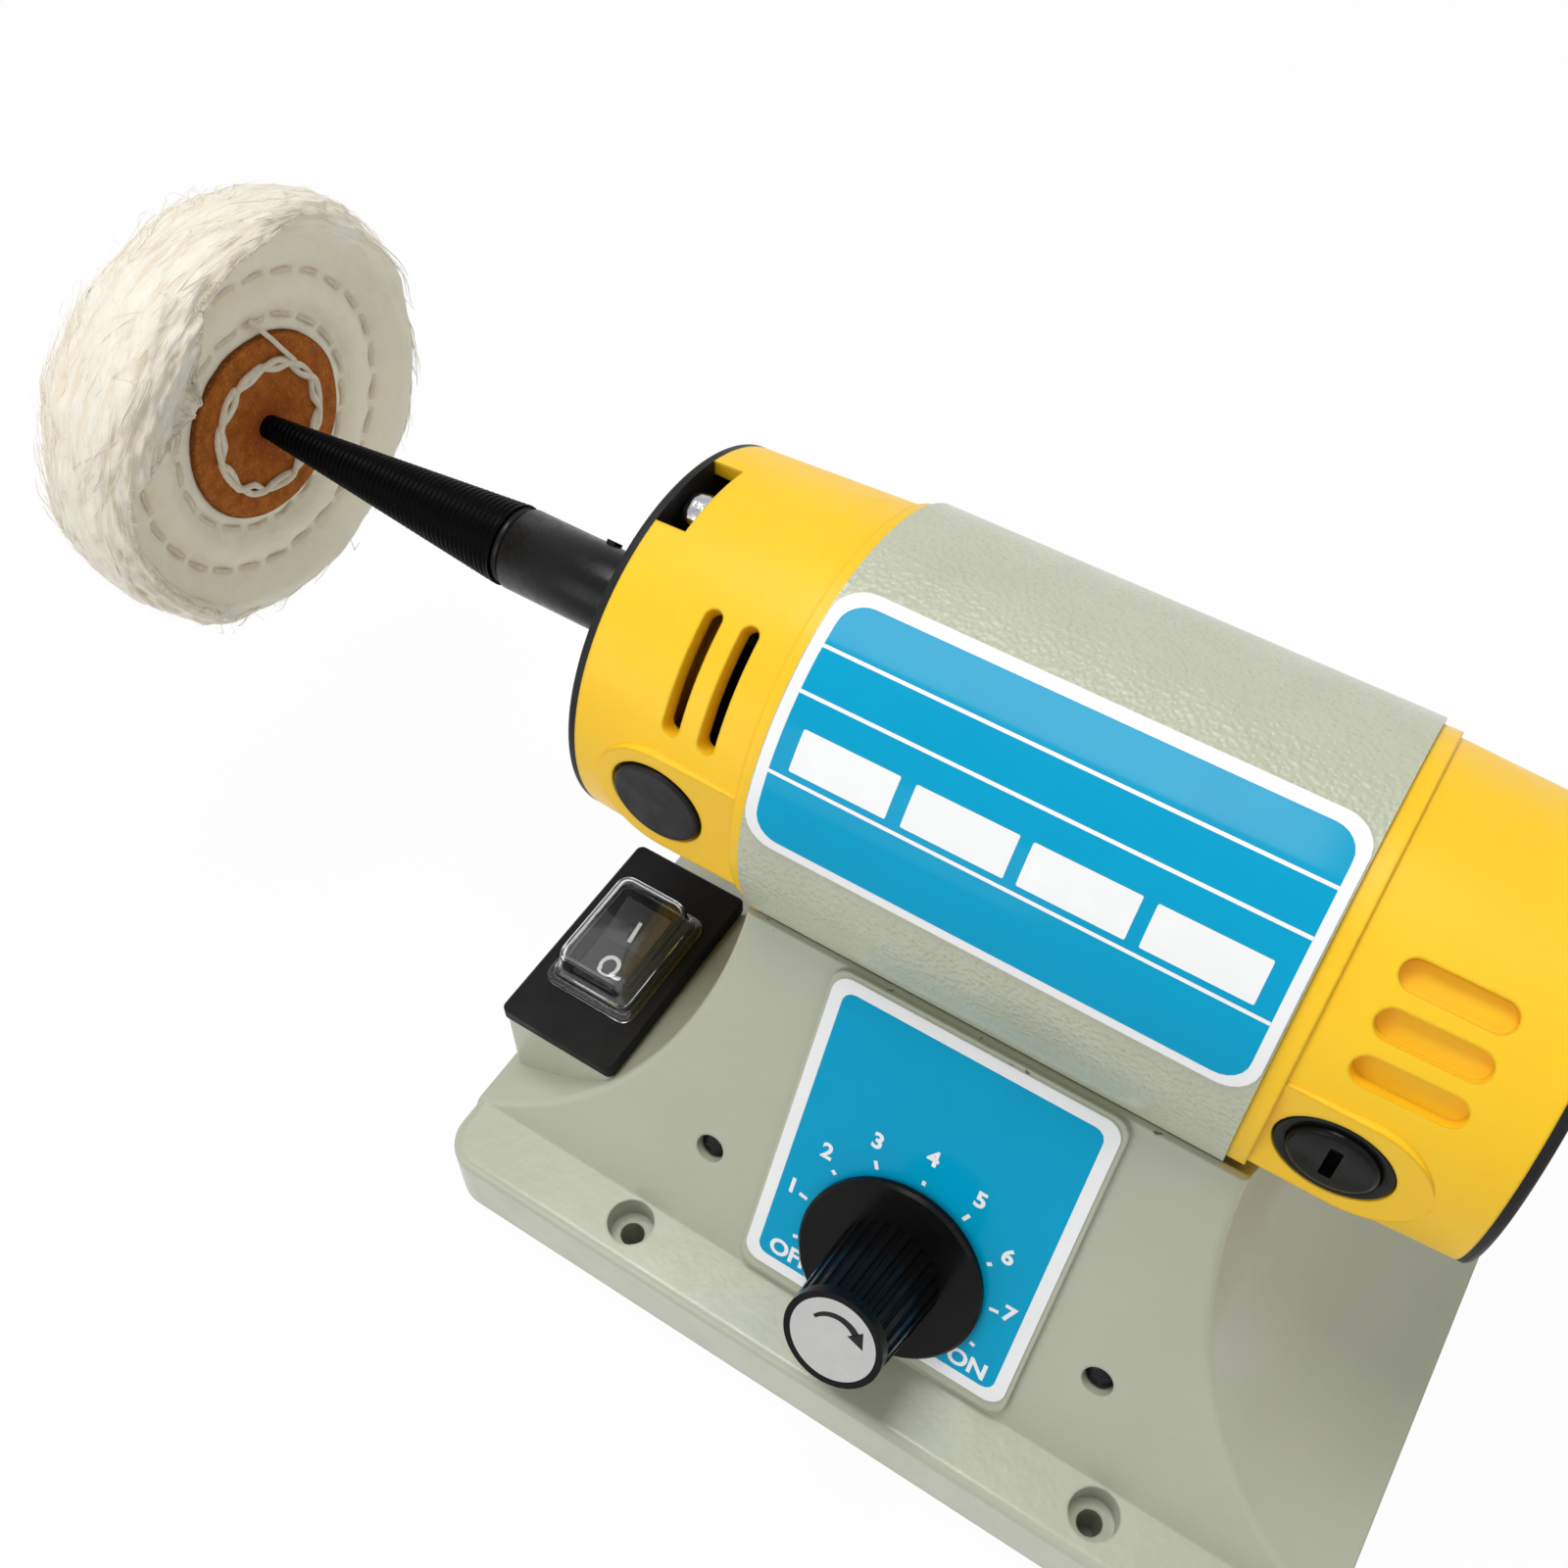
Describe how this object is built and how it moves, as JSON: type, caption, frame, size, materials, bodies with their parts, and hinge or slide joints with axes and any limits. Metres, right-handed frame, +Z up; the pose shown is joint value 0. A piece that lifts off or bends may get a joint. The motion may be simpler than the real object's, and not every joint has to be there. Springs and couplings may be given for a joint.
{
  "type": "bench buffer",
  "caption": "Variable-speed bench polishing motor on a cast sloping base, with a tapered spindle carrying a stitched cotton buff, a speed knob and a covered rocker switch.",
  "frame": {"origin": "middle of the base's underside, the centre of the bench bolt pattern", "axes": "+X along the motor, away from the spindle; -Y towards the control panel; +Z up"},
  "size_m": [0.3022, 0.1693, 0.1495],
  "materials": {
    "base_paint": "satin",
    "barrel_paint": "textured",
    "yellow_plastic": "satin",
    "black_plastic": "matte",
    "cover_steel": "satin",
    "black_steel": "black oxide",
    "bright_steel": "satin",
    "chrome": "polished",
    "core_steel": "laminated",
    "copper": "enamelled",
    "brass": "satin",
    "carbon": "matte",
    "label_blue": "satin",
    "white_plastic": "matte",
    "clear_vinyl": "clear",
    "board": "satin",
    "aluminium": "satin",
    "rubber": "matte",
    "cotton": "stitched plies",
    "leather": "matte"
  },
  "bodies": {
    "housing": {"base_casting": "base_paint", "motor_barrel": "barrel_paint", "front_end_cap": "yellow_plastic", "rear_end_cap": "yellow_plastic", "front_plate": "black_plastic", "rear_plate": "black_plastic", "blank_plugs": "black_plastic", "brush_caps": "black_plastic", "switch_plate": "black_plastic", "switch_body": "black_plastic", "potentiometer_body": "black_plastic", "bottom_cover": "cover_steel", "panel_screws": "black_steel", "cover_screws": "bright_steel", "saddle_screws": "bright_steel", "front_plate_screws": "bright_steel", "rear_plate_screws": "bright_steel", "tie_bolts": "bright_steel", "front_bearing": "bright_steel", "rear_bearing": "bright_steel", "potentiometer_nut": "bright_steel", "front_brush_spring": "bright_steel", "rear_brush_spring": "bright_steel", "tie_bolt_nuts": "chrome", "stator_core": "core_steel", "field_coils": "copper", "brush_holders": "brass", "switch_terminals": "brass", "rating_label": "label_blue", "dial_label": "label_blue", "switch_boot": "clear_vinyl", "control_board": "board", "board_capacitor": "aluminium", "heat_sink": "aluminium", "cord_grommet": "rubber"},
    "rotor": {"motor_shaft": "bright_steel", "armature_core": "core_steel", "armature_windings": "copper", "commutator": "copper", "cooling_fan": "black_plastic", "tapered_spindle": "black_steel", "spindle_set_screw": "black_steel", "buff_wheel": "cotton", "leather_washers": "leather"},
    "knob": {"speed_knob": "black_plastic", "knob_disc": "white_plastic", "potentiometer_shaft": "bright_steel"},
    "rocker": {"rocker": "black_plastic"},
    "front_brush": {"front_brush": "carbon"},
    "rear_brush": {"rear_brush": "carbon"}
  },
  "joints": [
    {"name": "rotor_spin", "type": "hinge", "parent": "housing", "child": "rotor", "pos_m": [0, 0, 0.101], "axis": [1, 0, 0], "continuous": true},
    {"name": "knob_turn", "type": "hinge", "parent": "housing", "child": "knob", "pos_m": [0, -0.06093, 0.03509], "axis": [0, 0.8829, -0.4695], "range_deg": [0, 280]},
    {"name": "rocker_tilt", "type": "hinge", "parent": "housing", "child": "rocker", "pos_m": [-0.0786, -0.0345, 0.0396], "axis": [-1, 0, 0], "range_deg": [0, 16]},
    {"name": "front_brush_slide", "type": "slide", "parent": "housing", "child": "front_brush", "axis": [0, -1, 0], "range_m": [0, 0.004], "stiffness_N_per_m": 100, "springref_m": -0.015, "deforming": ["front_brush_spring"]},
    {"name": "rear_brush_slide", "type": "slide", "parent": "housing", "child": "rear_brush", "axis": [0, 1, 0], "range_m": [0, 0.004], "stiffness_N_per_m": 100, "springref_m": -0.015, "deforming": ["rear_brush_spring"]}
  ]
}
